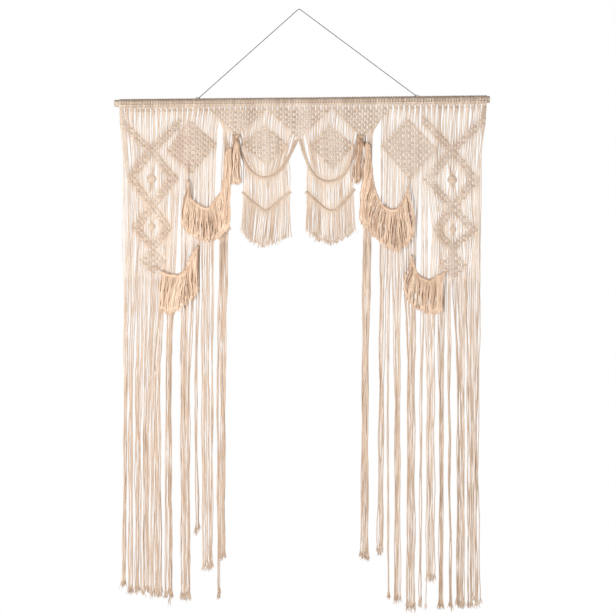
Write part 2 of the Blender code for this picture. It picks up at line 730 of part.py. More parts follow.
def build():
    clear_scene()
    wood = finish("rod_wood", (0.62, 0.50, 0.38), 0.6)
    cotton = finish("cotton_cord", (0.76, 0.60, 0.47), 0.9)
    warm_cotton = finish("fringe_cotton", (0.72, 0.50, 0.34), 0.9)
    grey_cord = finish("hanging_cord", (0.45, 0.43, 0.40), 0.85)

    make_rod(wood)
    left_tie, right_tie = TIE_X
    half = TIE_ROOM / 2
    make_heading("heading_left", HEADING_LEFT, left_tie - half, cotton)
    make_heading("heading_middle", left_tie + half, right_tie - half, cotton)
    make_heading("heading_right", right_tie + half, HEADING_RIGHT, cotton)
    make_tie("tie_left", left_tie, grey_cord)
    make_tie("tie_right", right_tie, grey_cord)
    make_hanging_cord(grey_cord)

    make_side_panel_left(cotton)
    make_side_panel_right(cotton)
    make_valance(cotton)
    make_pendant_left(cotton)
    make_pendant_right(cotton)

    long_fringe("long_fringe_left_outer", LEFT_OUTER_BUNDLES, -0.5600, -0.3940, OUTER_HEM_LEFT, cotton)
    long_fringe("long_fringe_left_inner", LEFT_INNER_BUNDLES, -0.3770, -0.2265, INNER_HEM, cotton)
    long_fringe("long_fringe_right_inner", RIGHT_INNER_BUNDLES, 0.2042, 0.3740, INNER_HEM, cotton)
    long_fringe("long_fringe_right_outer", RIGHT_OUTER_BUNDLES, 0.3880, 0.5774, OUTER_HEM_RIGHT, cotton)

    swag("inner_swag_left", LEFT_INNER_SWAG, 12, KNOT_DEPTH, warm_cotton)
    swag("inner_swag_right", RIGHT_INNER_SWAG, 13, KNOT_DEPTH, warm_cotton)
    swag("outer_swag_left", LEFT_OUTER_SWAG, 9, SMALL_DIAMOND_DEPTH, warm_cotton)
    swag("outer_swag_right", RIGHT_OUTER_SWAG, 10, SMALL_DIAMOND_DEPTH, warm_cotton)
    tassel("tassel_left", (-0.199, -0.390), 0.0125, (-0.2235, -0.558), (-0.1830, -0.561), warm_cotton)
    tassel("tassel_right", (0.1985, -0.393), 0.0125, (0.1735, -0.557), (0.2150, -0.558), warm_cotton)


build()
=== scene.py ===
import math

import bpy
import numpy as np
from mathutils import Matrix, Vector


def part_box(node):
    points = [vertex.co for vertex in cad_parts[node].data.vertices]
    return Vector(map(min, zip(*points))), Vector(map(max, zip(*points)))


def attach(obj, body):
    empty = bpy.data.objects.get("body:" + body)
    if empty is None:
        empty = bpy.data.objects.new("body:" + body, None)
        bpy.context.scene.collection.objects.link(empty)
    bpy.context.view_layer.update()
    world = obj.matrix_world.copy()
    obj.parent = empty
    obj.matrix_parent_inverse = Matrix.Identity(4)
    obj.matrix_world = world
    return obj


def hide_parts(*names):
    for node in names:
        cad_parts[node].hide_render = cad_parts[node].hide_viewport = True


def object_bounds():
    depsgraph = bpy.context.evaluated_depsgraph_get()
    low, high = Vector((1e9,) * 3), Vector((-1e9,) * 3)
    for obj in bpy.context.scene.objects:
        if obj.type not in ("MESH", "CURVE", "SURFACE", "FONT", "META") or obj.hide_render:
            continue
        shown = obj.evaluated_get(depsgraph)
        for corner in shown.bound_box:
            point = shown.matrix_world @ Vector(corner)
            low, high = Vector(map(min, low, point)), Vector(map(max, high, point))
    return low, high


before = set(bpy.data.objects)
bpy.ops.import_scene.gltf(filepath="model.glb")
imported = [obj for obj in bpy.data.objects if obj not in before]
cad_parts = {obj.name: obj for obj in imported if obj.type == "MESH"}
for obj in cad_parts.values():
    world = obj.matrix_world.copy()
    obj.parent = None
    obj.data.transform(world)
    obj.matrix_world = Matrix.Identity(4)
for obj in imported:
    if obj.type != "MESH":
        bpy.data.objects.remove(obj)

# A macrame curtain: cotton cord looped on a wooden rod, knotted by hand from the rod down, with
# swags and tassels hung on its front, and held up by one thin cord over a hook.

cad_low, cad_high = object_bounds()
chance = np.random.default_rng(20)


# ---- The studio ----
# A plain pale floor below the fringe and an even white surround. Two soft lamps stand in front of
# the curtain and one behind it, and the camera looks at it face on.

floor_reach = 9.0
floor_level = cad_low.z - 0.16
floor_pale = (0.96, 0.955, 0.95, 1.0)
surround_white = (1.0, 1.0, 1.0, 1.0)
surround_glow = (0.97, 0.985, 1.0, 1.0)
glow_below = 0.30             # the surround is dimmer towards the top
glow_above = 0.04


def add_node(tree, kind, inputs, **settings):
    """A new node; each input takes a plain value, or the output that feeds it."""
    node = tree.nodes.new("ShaderNode" + kind)
    for setting, value in settings.items():
        setattr(node, setting, value)
    for name, value in inputs.items():
        if isinstance(value, bpy.types.NodeSocket):
            tree.links.new(value, node.inputs[name])
        else:
            node.inputs[name].default_value = value
    return node


def seen_white(tree, lit, plain, out):
    """The camera sees the plain shader, and every other ray meets the lit one."""
    ray = add_node(tree, "LightPath", {})
    either = add_node(tree, "MixShader", {
        "Fac": ray.outputs["Is Camera Ray"], 1: lit.outputs[0], 2: plain.outputs[0]})
    tree.links.new(either.outputs[0], out.inputs["Surface"])


def add_object(name, data):
    """A new object of this mesh, lamp or camera, in the scene."""
    thing = bpy.data.objects.new(name, data)
    bpy.context.scene.collection.objects.link(thing)
    return thing


floor_shape = bpy.data.meshes.new("floor")
floor_sides = ((-1, -1), (1, -1), (1, 1), (-1, 1))
floor_corners = [(x * floor_reach, y * floor_reach, floor_level) for x, y in floor_sides]
floor_shape.from_pydata(floor_corners, [], [(0, 1, 2, 3)])
floor = add_object("floor", floor_shape)
floor_paint = bpy.data.materials.new("floor_paint")
floor_paint.use_nodes = True
tree = floor_paint.node_tree
floor_shader = tree.nodes["Principled BSDF"]
floor_shader.inputs["Base Color"].default_value = floor_pale
floor_shader.inputs["Roughness"].default_value = 0.8
seen_white(tree, floor_shader, add_node(tree, "Emission", {}), tree.nodes["Material Output"])
floor_shape.materials.append(floor_paint)

surround = bpy.data.worlds.new("surround")
surround.use_nodes = True
tree = surround.node_tree
backdrop = tree.nodes["Background"]
backdrop.inputs["Color"].default_value = surround_white
backdrop.inputs["Strength"].default_value = 1.0
towards = add_node(tree, "TexCoord", {})
upwards = add_node(tree, "SeparateXYZ", {0: towards.outputs["Generated"]})
dimmer = add_node(tree, "MapRange", {
    "Value": upwards.outputs["Z"], "From Min": -0.2, "From Max": 0.8,
    "To Min": glow_below, "To Max": glow_above})
glow = add_node(tree, "Background", {"Color": surround_glow, "Strength": dimmer.outputs[0]})
seen_white(tree, glow, backdrop, tree.nodes["World Output"])
bpy.context.scene.world = surround
bpy.context.scene.view_settings.view_transform = "Standard"

curtain_middle = (cad_low + cad_high) / 2


def soft_lamp(name, offset, size, watts):
    """A round lamp at this offset from the middle of the curtain, turned towards it."""
    lamp = bpy.data.lights.new(name, "AREA")
    lamp.shape = "DISK"
    lamp.size = size
    lamp.energy = watts
    holder = add_object(name, lamp)
    holder.location = curtain_middle + Vector(offset)
    holder.rotation_euler = (curtain_middle - holder.location).to_track_quat("-Z", "Y").to_euler()


soft_lamp("lamp_left", (-1.9, -3.0, -0.1), size=0.6, watts=112)
soft_lamp("lamp_right", (2.0, -3.2, -0.4), size=1.0, watts=53)
soft_lamp("lamp_behind", (-1.7, 3.4, 0.4), size=1.6, watts=95)

camera_distance = 4.0
view_width = 1.965            # of the picture, at the curtain
camera = bpy.data.cameras.new("camera")
camera.lens = camera.sensor_width * camera_distance / view_width
camera_holder = add_object("camera", camera)
camera_holder.location = curtain_middle + Vector((0.019, -camera_distance, 0.005))
camera_holder.rotation_euler = (math.radians(90), 0, 0)
bpy.context.scene.camera = camera_holder


# ---- Hanging cord ----
# One thin twisted grey cord, tied to the rod at both ends and pulled straight by the curtain's
# weight. It bends over the wall hook at the top.

grey_cord = 0.0025            # thickness


def lengths_along(points):
    """How far along a line each of its points is."""
    steps = np.linalg.norm(np.diff(np.asarray(points, float), axis=0), axis=1)
    return np.concatenate([[0.0], np.cumsum(steps)])


def round_the_cord(points, radius, sides):
    """Rings of points about a cord's centre line, turned as little as possible from one to the next."""
    points = np.asarray(points, float)
    along = np.gradient(points, axis=0)
    along /= np.linalg.norm(along, axis=1)[:, None]
    side = np.cross(along[0], (0.0, 1.0, 0.0))
    if np.linalg.norm(side) < 0.2:
        side = np.cross(along[0], (1.0, 0.0, 0.0))
    sx, sy, sz = side
    turned = []
    for ax, ay, az in along.tolist():
        back = sx * ax + sy * ay + sz * az
        sx, sy, sz = sx - back * ax, sy - back * ay, sz - back * az
        size = math.sqrt(sx * sx + sy * sy + sz * sz)
        sx, sy, sz = sx / size, sy / size, sz / size
        turned.append((sx, sy, sz))
    across = np.array(turned)
    up = np.cross(along, across)
    turns = np.arange(sides) * (math.tau / sides)
    radius = np.broadcast_to(radius, len(points))[:, None, None]
    ring = np.cos(turns)[None, :, None] * across[:, None, :] + np.sin(turns)[None, :, None] * up[:, None, :]
    return points[:, None, :] + radius * ring


def make_piece(name, finish, *parts):
    """A mesh of smooth sides, which know their place along the cord, and flat caps."""
    verts, quads, corners, caps, shades = (np.concatenate(part) for part in parts)
    mesh = bpy.data.meshes.new(name)
    mesh.from_pydata(verts, [], quads.tolist() + caps.tolist())
    mesh.polygons.foreach_set("use_smooth", np.arange(len(mesh.polygons)) < len(quads))
    layer = mesh.uv_layers.new(name="along_cord")
    uv = np.concatenate([corners, np.tile((0.5, 0.0), (caps.size, 1))])
    layer.uv.foreach_set("vector", uv.astype(np.float32).ravel())
    mesh.attributes.new("shade", "FLOAT", "POINT").data.foreach_set("value", shades.astype(np.float32))
    # The rims of the caps are sharp, so that the sides aren't shaded round on to the caps.
    rim = np.full(len(verts), -1)
    rim[caps] = np.arange(len(caps))[:, None]
    ends = np.empty(len(mesh.edges) * 2, np.int32)
    mesh.edges.foreach_get("vertices", ends)
    ends = rim[ends.reshape(-1, 2)]
    mesh.edges.foreach_set("use_edge_sharp", (ends[:, 0] >= 0) & (ends[:, 0] == ends[:, 1]))
    mesh.validate()
    mesh.materials.append(finish)
    return add_object(name, mesh)


def spin(name, cords, finish, sides=6):
    """One piece of many round cords, each given as (points along it, radius, shade).

    A shade of 0 is dark and 1 is light. The radius and the shade are one number or one for each point.
    """
    parts = []
    first = 0
    ring = np.arange(sides)
    nxt = (ring + 1) % sides
    for points, radius, shade in cords:
        body = round_the_cord(points, radius, sides)
        count = len(body)
        low = first + np.arange(count - 1)[:, None] * sides
        quads = np.stack((low + ring, low + nxt, low + sides + nxt, low + sides + ring), -1)
        place = lengths_along(points) + chance.uniform(0, 0.05)
        u = np.stack([ring, ring + 1, ring + 1, ring], -1) / sides
        v = np.stack([place[:-1], place[:-1], place[1:], place[1:]], -1)
        corners = np.stack(np.broadcast_arrays(u[None], v[:, None, :]), -1)
        caps = [first + ring[::-1], first + (count - 1) * sides + ring]
        shades = np.repeat(np.broadcast_to(shade, count), sides)
        parts.append((body.reshape(-1, 3), quads.reshape(-1, 4), corners.reshape(-1, 2), caps, shades))
        first += count * sides
    return make_piece(name, finish, *zip(*parts))


def cord_finish(name, light, deep, lay, unevenness, plies=3, painted_groove_shade=0.5):
    """Soft twisted cord: plies that wind round it once in each lay, with loose fibres on them, and painted
    shade in the grooves between the plies.
    """
    finish = bpy.data.materials.new(name)
    finish.use_nodes = True
    tree = finish.node_tree
    place = add_node(tree, "UVMap", {}, uv_map="along_cord")
    parts = add_node(tree, "SeparateXYZ", {0: place.outputs["UV"]})
    along = add_node(tree, "Math", {0: parts.outputs["Y"], 1: plies / lay}, operation="MULTIPLY")
    wind = add_node(tree, "Math", {0: parts.outputs["X"], 1: plies, 2: along.outputs[0]},
                    operation="MULTIPLY_ADD")
    ridge = add_node(tree, "Math", {0: wind.outputs[0], 1: 0.5}, operation="PINGPONG")
    swell = add_node(tree, "MapRange", {"Value": ridge.outputs[0], "From Max": 0.5},
                     interpolation_type="SMOOTHSTEP")
    where = add_node(tree, "TexCoord", {}).outputs["Object"]
    fibres = add_node(tree, "TexNoise", {"Vector": where, "Scale": 1400.0, "Detail": 2.0})
    patches = add_node(tree, "TexNoise", {"Vector": where, "Scale": 14.0, "Detail": 2.0})
    own = add_node(tree, "Attribute", {}, attribute_name="shade")
    mood = add_node(tree, "Math", {0: own.outputs["Fac"], 1: unevenness, 2: patches.outputs["Fac"]},
                    operation="MULTIPLY_ADD")
    lift = add_node(tree, "MapRange", {
        "Value": mood.outputs[0], "From Min": 0.35, "From Max": 0.65 + unevenness,
        "To Min": 0.05, "To Max": 1.0 - painted_groove_shade})
    # Painted shade: between the plies the colour runs towards deep, where shade would fall. The shade
    # attribute, which also carries painted shade, and the patches set each cord's tone.
    depth = add_node(tree, "Math", {0: swell.outputs[0], 1: painted_groove_shade, 2: lift.outputs[0]},
                     operation="MULTIPLY_ADD", use_clamp=True)
    tone_and_painted_groove_shade = add_node(tree, "Mix", {"Factor": depth.outputs[0], "A": (*deep, 1.0), "B": (*light, 1.0)},
                   data_type="RGBA")
    fuzz = add_node(tree, "Math", {0: fibres.outputs["Fac"], 1: 0.25, 2: swell.outputs[0]},
                    operation="MULTIPLY_ADD")
    relief = add_node(tree, "Bump", {"Height": fuzz.outputs[0], "Strength": 0.7, "Distance": 0.0004})
    shader = tree.nodes["Principled BSDF"]
    tree.links.new(tone_and_painted_groove_shade.outputs["Result"], shader.inputs["Base Color"])
    tree.links.new(relief.outputs["Normal"], shader.inputs["Normal"])
    shader.inputs["Roughness"].default_value = 0.88
    shader.inputs["Specular IOR Level"].default_value = 0.25
    shader.inputs["Sheen Weight"].default_value = 0.12
    shader.inputs["Sheen Roughness"].default_value = 0.5
    return finish


hook_radius = 0.006
clearance = 0.0003            # between the cord and what it lies on


def hanging_route(tie_tops):
    """Centre line of the hanging cord: straight leg, bend over the hook, straight leg."""
    radius = grey_cord / 2
    peak = Vector((0.0, 0.0, radius))
    feet = []
    for tie_top in tie_tops:
        slope = (peak - tie_top).normalized()
        feet.append(tie_top + Vector((0.0, 0.0, radius * abs(slope.x) + clearance * 1.5)))
    left, right = feet
    to_left = (left - peak).normalized()
    to_right = (right - peak).normalized()
    half_corner = to_left.angle(to_right) / 2
    bend = hook_radius + radius
    reach = bend / math.tan(half_corner)
    centre = peak + (to_left + to_right).normalized() * (bend / math.sin(half_corner))
    lift = (centre - peak).length - bend
    start = peak + to_left * reach
    stop = peak + to_right * reach
    arc_points = 7
    leg_points = 26
    route = [left.lerp(start, k / leg_points) for k in range(leg_points)]
    for k in range(arc_points):
        turn = (math.pi - 2 * half_corner) * k / (arc_points - 1)
        route.append(centre + Matrix.Rotation(turn, 3, "Y") @ (start - centre))
    route += [stop.lerp(right, (k + 1) / leg_points) for k in range(leg_points)]
    # The bend cuts the corner, so the route is raised towards its middle until it reaches the peak.
    last = len(route) - 1
    return [point + Vector((0.0, 0.0, lift * (1 - abs(2 * k / last - 1)))) for k, point in enumerate(route)]


tie_tops = []
for tie in ("tie_left", "tie_right"):
    low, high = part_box(tie)
    tie_tops.append(Vector(((low.x + high.x) / 2, 0.0, high.z)))
route = hanging_route(tie_tops)
grey_finish = cord_finish("grey_cord", (0.14, 0.135, 0.13), (0.075, 0.072, 0.07),
                          lay=0.009, unevenness=0.2)
hanging_cord = spin("hanging_cord_twisted", [(route, grey_cord / 2, 0.5)], grey_finish, sides=10)
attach(hanging_cord, "root")
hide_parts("hanging_cord")


# ---- Wooden rod ----
# A plain softwood dowel, sanded and left bare, with its sawn ends showing past the loops. Its
# grain runs along it and shows as rings on the ends.

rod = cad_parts["rod"]
rod_low, rod_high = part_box("rod")
rod_radius = (rod_high.y - rod_low.y) / 2
rod_left = Vector((rod_low.x, 0.0, rod_low.z + rod_radius))
rod_right = Vector((rod_high.x, 0.0, rod_high.z - rod_radius))


def rod_axis(x):
    """Height of the middle of the rod at this x."""
    return rod_left.z + (rod_right.z - rod_left.z) * (x - rod_left.x) / (rod_right.x - rod_left.x)


bare_wood = bpy.data.materials.new("bare_softwood")
bare_wood.use_nodes = True
tree = bare_wood.node_tree
wood_place = add_node(tree, "TexCoord", {})
grain_run = add_node(tree, "Mapping", {
    "Vector": wood_place.outputs["Object"], "Location": (0.0, 0.006, 0.004 - rod_left.z),
    "Scale": (0.05, 1.0, 1.0)}).outputs["Vector"]
rings = add_node(tree, "TexWave", {"Vector": grain_run, "Scale": 110.0, "Distortion": 2.5, "Detail": 3.0},
                 wave_type="RINGS", rings_direction="X")
pores = add_node(tree, "TexNoise", {"Vector": grain_run, "Scale": 900.0, "Detail": 4.0})
grain = add_node(tree, "Math", {0: pores.outputs["Fac"], 1: 0.4, 2: rings.outputs["Fac"]},
                 operation="MULTIPLY_ADD")
wood_colours = add_node(tree, "ValToRGB", {"Fac": grain.outputs[0]})
wood_colours.color_ramp.elements[0].color = (0.38, 0.29, 0.21, 1.0)
wood_colours.color_ramp.elements[1].color = (0.55, 0.46, 0.37, 1.0)
wood_relief = add_node(tree, "Bump", {"Height": grain.outputs[0], "Strength": 0.25, "Distance": 0.0002})
wood_shader = tree.nodes["Principled BSDF"]
tree.links.new(wood_colours.outputs["Color"], wood_shader.inputs["Base Color"])
tree.links.new(wood_relief.outputs["Normal"], wood_shader.inputs["Normal"])
wood_shader.inputs["Roughness"].default_value = 0.6
for slot in rod.material_slots:
    slot.material = bare_wood


# ---- Ties of the hanging cord ----
# At each end the hanging cord is taken twice round the rod and knotted on top, with a short tail.
# It has rubbed pale where it is tied.

rubbed_finish = cord_finish("grey_cord_rubbed", (0.52, 0.47, 0.41), (0.30, 0.27, 0.23),
                            lay=0.009, unevenness=0.2)
rounds = 2                    # round the rod
winding_width = 0.0028
knot_rounds = 1.6
knot_width = 0.0042
knot_radius = 0.0026
knot_seat = 0.0022            # from the winding up to the middle of the knot

for tie, side in (("tie_left", -1), ("tie_right", 1)):
    low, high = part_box(tie)
    x = (low.x + high.x) / 2
    wound = rod_radius + grey_cord / 2 + 0.0004
    winding = []
    for k in range(41):
        turn = math.tau * (0.25 + rounds * k / 40)
        along = x + winding_width * (k / 40 - 0.5)
        winding.append((along, -wound * math.cos(turn), rod_axis(along) + wound * math.sin(turn)))
    seat = rod_axis(x) + wound + knot_seat
    knot = []
    for k in range(19):
        turn = math.tau * knot_rounds * k / 18
        along = x - knot_seat * side + knot_width * side * k / 18
        knot.append((along, -knot_radius * math.cos(turn), seat + knot_radius * math.sin(turn)))
    tail = [(x + side * 0.001, -0.0010, seat), (x + side * 0.004, -0.0022, seat + 0.0008),
            (x + side * 0.008, -0.0030, seat + 0.0004), (x + side * 0.012, -0.0034, seat - 0.0010)]
    tied = [(part, grey_cord / 2, 0.5) for part in (winding, knot, tail)]
    tied_end = spin(tie + "_winding", tied, rubbed_finish, sides=8)
    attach(tied_end, "root")
    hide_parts(tie)


# ---- Heading ----
# Each cord is folded in half and looped on the rod with a lark's head knot, so that both halves
# pass over the rod and its bend lies across them in front. Two loops side by side feed each knot.

cord = 0.003                  # thickness of the cotton cord
cord_radius = cord * 0.54     # with the loose fibres on it
drawn_radius = cord * 0.49    # where it hangs free and its own weight draws it out
cords_in_all = 272
places = cords_in_all / 4     # four cords to a place, counted from the left
place_step_left = 0.01684     # from one place to the next; looser on the right half
place_step_right = 0.01768
heading_middle_x = -0.0016
curtain_y = -0.012            # the curtain hangs in front of the rod's middle
loop_drop = 0.0165            # from the rod's middle to the lower ends of a loop
strand_gap = 0.0017           # from a loop's middle to each of its two strands
cotton = cord_finish("cotton_cord", (0.92, 0.795, 0.675), (0.42, 0.26, 0.155),
                     lay=0.011, unevenness=0.7)
own_shade = chance.uniform(size=cords_in_all)


def heading_x(u):
    """Where on the rod a place is."""
    return heading_middle_x + (u - places / 2) * (place_step_left if u < places / 2 else place_step_right)


def head_x(head):
    """Where on the rod a loop is, counted from the left; there are two to a place."""
    return heading_x((head + 0.5) / 2)


def larks_head(radius, drop, gap):
    """A lark's head about the x axis: up one strand, round, across in front, round, down the other."""
    out = radius + cord_radius * 1.05
    over = [(-gap, -out, -drop), (-gap, -out, -0.35 * drop)]
    for angle in range(0, 289, 32):
        turn = math.radians(angle)
        apart = 1.0 + 0.1 * max(0, angle - 224) / 64
        over.append((-gap * apart, -out * math.cos(turn), out * math.sin(turn)))
    front = out + cord * 0.95
    down = -0.62 * out
    over.append((-gap - cord * 0.62, -out * 0.86, down - cord * 0.55))
    over.append((-gap - cord * 0.30, -front * 0.93, down - cord * 0.1))
    over.append((-gap * 0.4, -front, down))
    return np.array(over + [(-x, y, z) for x, y, z in over[::-1]])


def heading_run(name, first_head, last_head):
    """Loops side by side, packed close over the top of the rod; there they are painted darker, a painted
    shade for the light that falls from the front.
    """
    loops = []
    for head in range(first_head, last_head):
        x = head_x(head)
        loop = larks_head(rod_radius, loop_drop, strand_gap + chance.normal(0, 0.0001))
        loop = loop + np.array((x, 0, rod_axis(x)))
        loop[:, 0] += chance.normal(0, 0.00025)
        painted_top_shade = np.clip((loop[:, 2] - rod_axis(x) - 0.004) / 0.004, 0, 1)
        loops.append((loop, cord_radius * 0.96, 0.9 * own_shade[2 * head] + 0.3 - 1.1 * painted_top_shade))
    run = spin(name + "_loops", loops, cotton)
    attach(run, "root")
    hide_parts(name)


heads = cords_in_all // 2
left_gap = next(head for head in range(heads) if head_x(head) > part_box("tie_left")[1].x)
right_gap = next(head for head in range(heads) if head_x(head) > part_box("tie_right")[0].x)
heading_run("heading_left", 0, left_gap)
heading_run("heading_middle", left_gap, right_gap)
heading_run("heading_right", right_gap, heads)


# ---- Knots of the net, the valance and the pendants ----
# The body of the curtain is alternating square knots: four cords to a knot, the outer two tied
# about the inner two, and the next row takes two cords from each of two neighbours.

knot_step = 0.0168            # from one knot to the next in a row, in the pattern below
row_drop = 0.0083             # from one row of knots to the next
knot_half_width = 0.0066
knot_half_height = 0.0046
first_row_drop = 0.0268       # from the rod's middle to the first row of knots
hand_lean = 0.045             # how unevenly the knots are drawn up by hand
hand_size = 0.02
hand_shift = 0.0003
over_the_knot = [
    # In millimetres from the middle of the knot; the cord turns back behind it at the far side.
    (-5.3, 0.2, 4.1), (-5.9, -1.3, 3.0), (-3.8, -3.0, 2.4), (0.0, -3.6, 2.2), (3.8, -2.9, 2.0),
    (6.0, -0.9, 1.5)]
back_under = [(x, y, -z) for x, y, z in over_the_knot[::-1]]
left_worker = 0.001 * np.array(over_the_knot + [(6.6, 0.8, 0.0)] + back_under)
right_worker = left_worker * (-1, -1, 1)
left_core = 0.001 * np.array([(-1.8, 0.0, 3.8), (-1.7, 0.0, 0.0), (-1.8, 0.0, -3.8)])
right_core = left_core * (-1, 1, 1)
roles = (
    # A cord's way through the knot, its thickness there, and its painted shading: the working cords are
    # painted in shade, the core cords painted light.
    (left_worker, cord_radius * 1.10, 0.0),
    (left_core, cord_radius, 0.8),
    (right_core, cord_radius, 0.8),
    (right_worker, cord_radius * 1.10, 0.0),
)
stops = [[] for _ in range(cords_in_all)]    # for each cord, the points where it is held


def with_radius(points, radius, painted_shading=0.6):
    """Adds two columns: the cord's radius, and its painted shading, from 0 for the darkest painted shade to
    1.
    """
    points = np.array(points, float)
    return np.column_stack([points, np.full(len(points), radius), np.full(len(points), painted_shading)])


def tie_knot(piece, u, x, z, step=knot_step, drop=row_drop):
    """One square knot at a place, tied with the four cords that meet there."""
    first = round(4 * u) - 2
    lean = chance.normal(0, hand_lean)
    size = np.array((step / knot_step, 1.0, drop / row_drop)) * chance.normal(1.0, hand_size)
    x += chance.normal(0, hand_shift)
    z += chance.normal(0, hand_shift)
    turn = np.array([(math.cos(lean), 0, math.sin(lean)), (0, 1, 0), (-math.sin(lean), 0, math.cos(lean))])
    for number, (shape, radius, painted_shading) in enumerate(roles, first):
        if 0 <= number < cords_in_all:
            path = (shape * size) @ turn + (x, curtain_y, z)
            stops[number].append((piece, with_radius(path, radius, painted_shading)))


def layered(number, by):
    """Neighbouring cords lie in two layers, this far behind and in front of the curtain's middle."""
    return curtain_y + by * (-1) ** number


def pass_through(piece, number, points):
    """A cord that is only held at these points, by a big knot, a band of hitches or its neighbours."""
    stops[number].append((piece, with_radius(points, cord_radius, 0.5)))


def diamond_of_knots(piece, u, rows, top, right, bottom, left):
    """Rows of knots over a diamond with these corner knots; the top knot is at place u."""
    top, right, bottom, left = (np.array(corner) for corner in (top, right, bottom, left))
    step = (right[0] - left[0]) / (rows - 1)
    drop = (top[1] - bottom[1]) / (2 * rows - 2)
    for i in range(rows):
        for j in range(rows):
            a = i / (rows - 1)
            b = j / (rows - 1)
            x, z = (1 - a) * (1 - b) * top + a * (1 - b) * right + a * b * bottom + (1 - a) * b * left
            tie_knot(piece, u + (i - j) / 2, x, z, step, drop)


def first_row(x):
    """Height of the first row of knots, just under the rod."""
    return rod_axis(x) - first_row_drop


valance_knot_width = 0.92     # these knots, and those of the first row, leave some of their room open
first_knot_width = 0.86


def valance_point(first_place, rows, tip):
    """A filled point that hangs from the rod, one knot fewer in each row."""
    left = heading_x(first_place + 0.5)
    right = heading_x(first_place + rows - 0.5)
    step = (right - left) / (rows - 1)
    for row in range(rows):
        for k in range(rows - row):
            across = k / (rows - 1)
            down = row / (rows - 1)
            x = left + (right - left) * across + (tip[0] - left) * down
            high = first_row(left) + (first_row(right) - first_row(left)) * across
            z = high + (tip[1] - first_row(left)) * down
            tie_knot("valance", first_place + 0.5 + row / 2 + k, x, z, step * valance_knot_width)


valance_point(17, 11, (-0.199, -0.4015))
valance_point(28, 12, (-0.0016, -0.411))
valance_point(40, 11, (0.1985, -0.4045))


# The row in which the two bands cross, and how many rows they run on above and below it.
crossings = (
    (16, 11, 9),
    (34, 9, 7),
    (48, 7, 0),
)
small_diamond_rows = 5


def net_knots(piece, middle_place, table):
    """Bands two knots wide that cross three times, and a small filled diamond below them."""
    rows, heights, middles, left_steps, right_steps = zip(*table)

    def net_knot(offset, row):
        step = np.interp(row, rows, left_steps if offset < 0 else right_steps)
        x = np.interp(row, rows, middles) + offset * step
        drop = np.interp(row - 0.5, rows, heights) - np.interp(row + 0.5, rows, heights)
        tie_knot(piece, middle_place + offset, x, np.interp(row, rows, heights), step, drop)

    sites = set()
    for crossing, rows_above, rows_below in crossings:
        sites |= {(0, crossing - 1), (-0.5, crossing), (0.5, crossing), (0, crossing + 1)}
        for side in (-0.5, 0.5):
            for k in range(1, rows_above + 1):
                sites.add((side * k, crossing - 1 - k))
                if k < rows_above:
                    sites.add((side * (k + 1), crossing - k))
            for k in range(1, rows_below + 1):
                sites.add((side * k, crossing + 1 + k))
                sites.add((side * (k + 1), crossing + k))
    for site in sorted(sites):
        net_knot(*site)
    # The diamond's top knot is the one just below the last crossing, which is tied already.
    for i in range(small_diamond_rows):
        for j in range(small_diamond_rows):
            if i + j:
                net_knot((i - j) / 2, crossings[-1][0] + 1 + i + j)


def first_row_knots(piece, first_place, last_place):
    """The row of knots just under the rod, one to each place."""
    for place in range(first_place, last_place):
        x = heading_x(place + 0.5)
        tie_knot(piece, place + 0.5, x, first_row(x), knot_step * first_knot_width)


first_row_knots("side_panel_left", 0, 17)
first_row_knots("side_panel_right", 51, 68)
for row in (1, 2, 3):         # three more knots down each outer edge
    for piece, u, inward in (("side_panel_left", 0.5, 1), ("side_panel_right", 67.5, -1)):
        x = heading_x(u) + inward * 0.001 * row
        tie_knot(piece, u, x, first_row(x) - row * row_drop)

# Row of knots, height, middle, and the step from one place to the next on the left and right.
left_net = (
    (0, -0.3255, -0.4732, place_step_left, place_step_left),
    (16, -0.4530, -0.4715, 0.0160, 0.0160),
    (25, -0.5400, -0.4705, 0.0145, 0.0157),
    (34, -0.6300, -0.4690, 0.0145, 0.0150),
    (41, -0.6986, -0.4690, 0.0145, 0.0146),
    (48, -0.7600, -0.4670, 0.0160, 0.0160),
    (53, -0.8039, -0.4660, 0.0177, 0.0177),
    (57, -0.8405, -0.4660, 0.0177, 0.0177),
)
right_net = (
    (0, -0.3140, 0.4934, place_step_right, place_step_right),
    (16, -0.4530, 0.4881, 0.0165, 0.0165),
    (25, -0.5455, 0.4881, 0.0176, 0.0160),
    (34, -0.6330, 0.4885, 0.0160, 0.0170),
    (41, -0.7065, 0.4903, 0.0145, 0.0182),
    (48, -0.7640, 0.4895, 0.0160, 0.0165),
    (53, -0.8166, 0.4905, 0.0177, 0.0182),
    (57, -0.8560, 0.4905, 0.0177, 0.0182),
)
net_knots("side_panel_left", 6, left_net)
net_knots("side_panel_right", 62, right_net)
diamond_of_knots("side_panel_left", 14, 10,
                 (-0.3445, -0.366), (-0.2692, -0.4307), (-0.3445, -0.519), (-0.4151, -0.453))
diamond_of_knots("side_panel_right", 54, 10,
                 (0.3477, -0.358), (0.4310, -0.4466), (0.3509, -0.538), (0.2676, -0.4402))
diamond_of_knots("pendant_left", 28, 8,
                 (-0.1085, -0.379), (-0.0427, -0.4338), (-0.1053, -0.4935), (-0.1758, -0.4338))
diamond_of_knots("pendant_right", 40, 8,
                 (0.0989, -0.379), (0.1663, -0.4338), (0.1037, -0.503), (0.0411, -0.4386))


# ---- Big knots ----
# Inside each open diamond a single big square knot gathers the cords of the middle: doubled
# working cords from both sides are tied about all the others.

big_knots = []


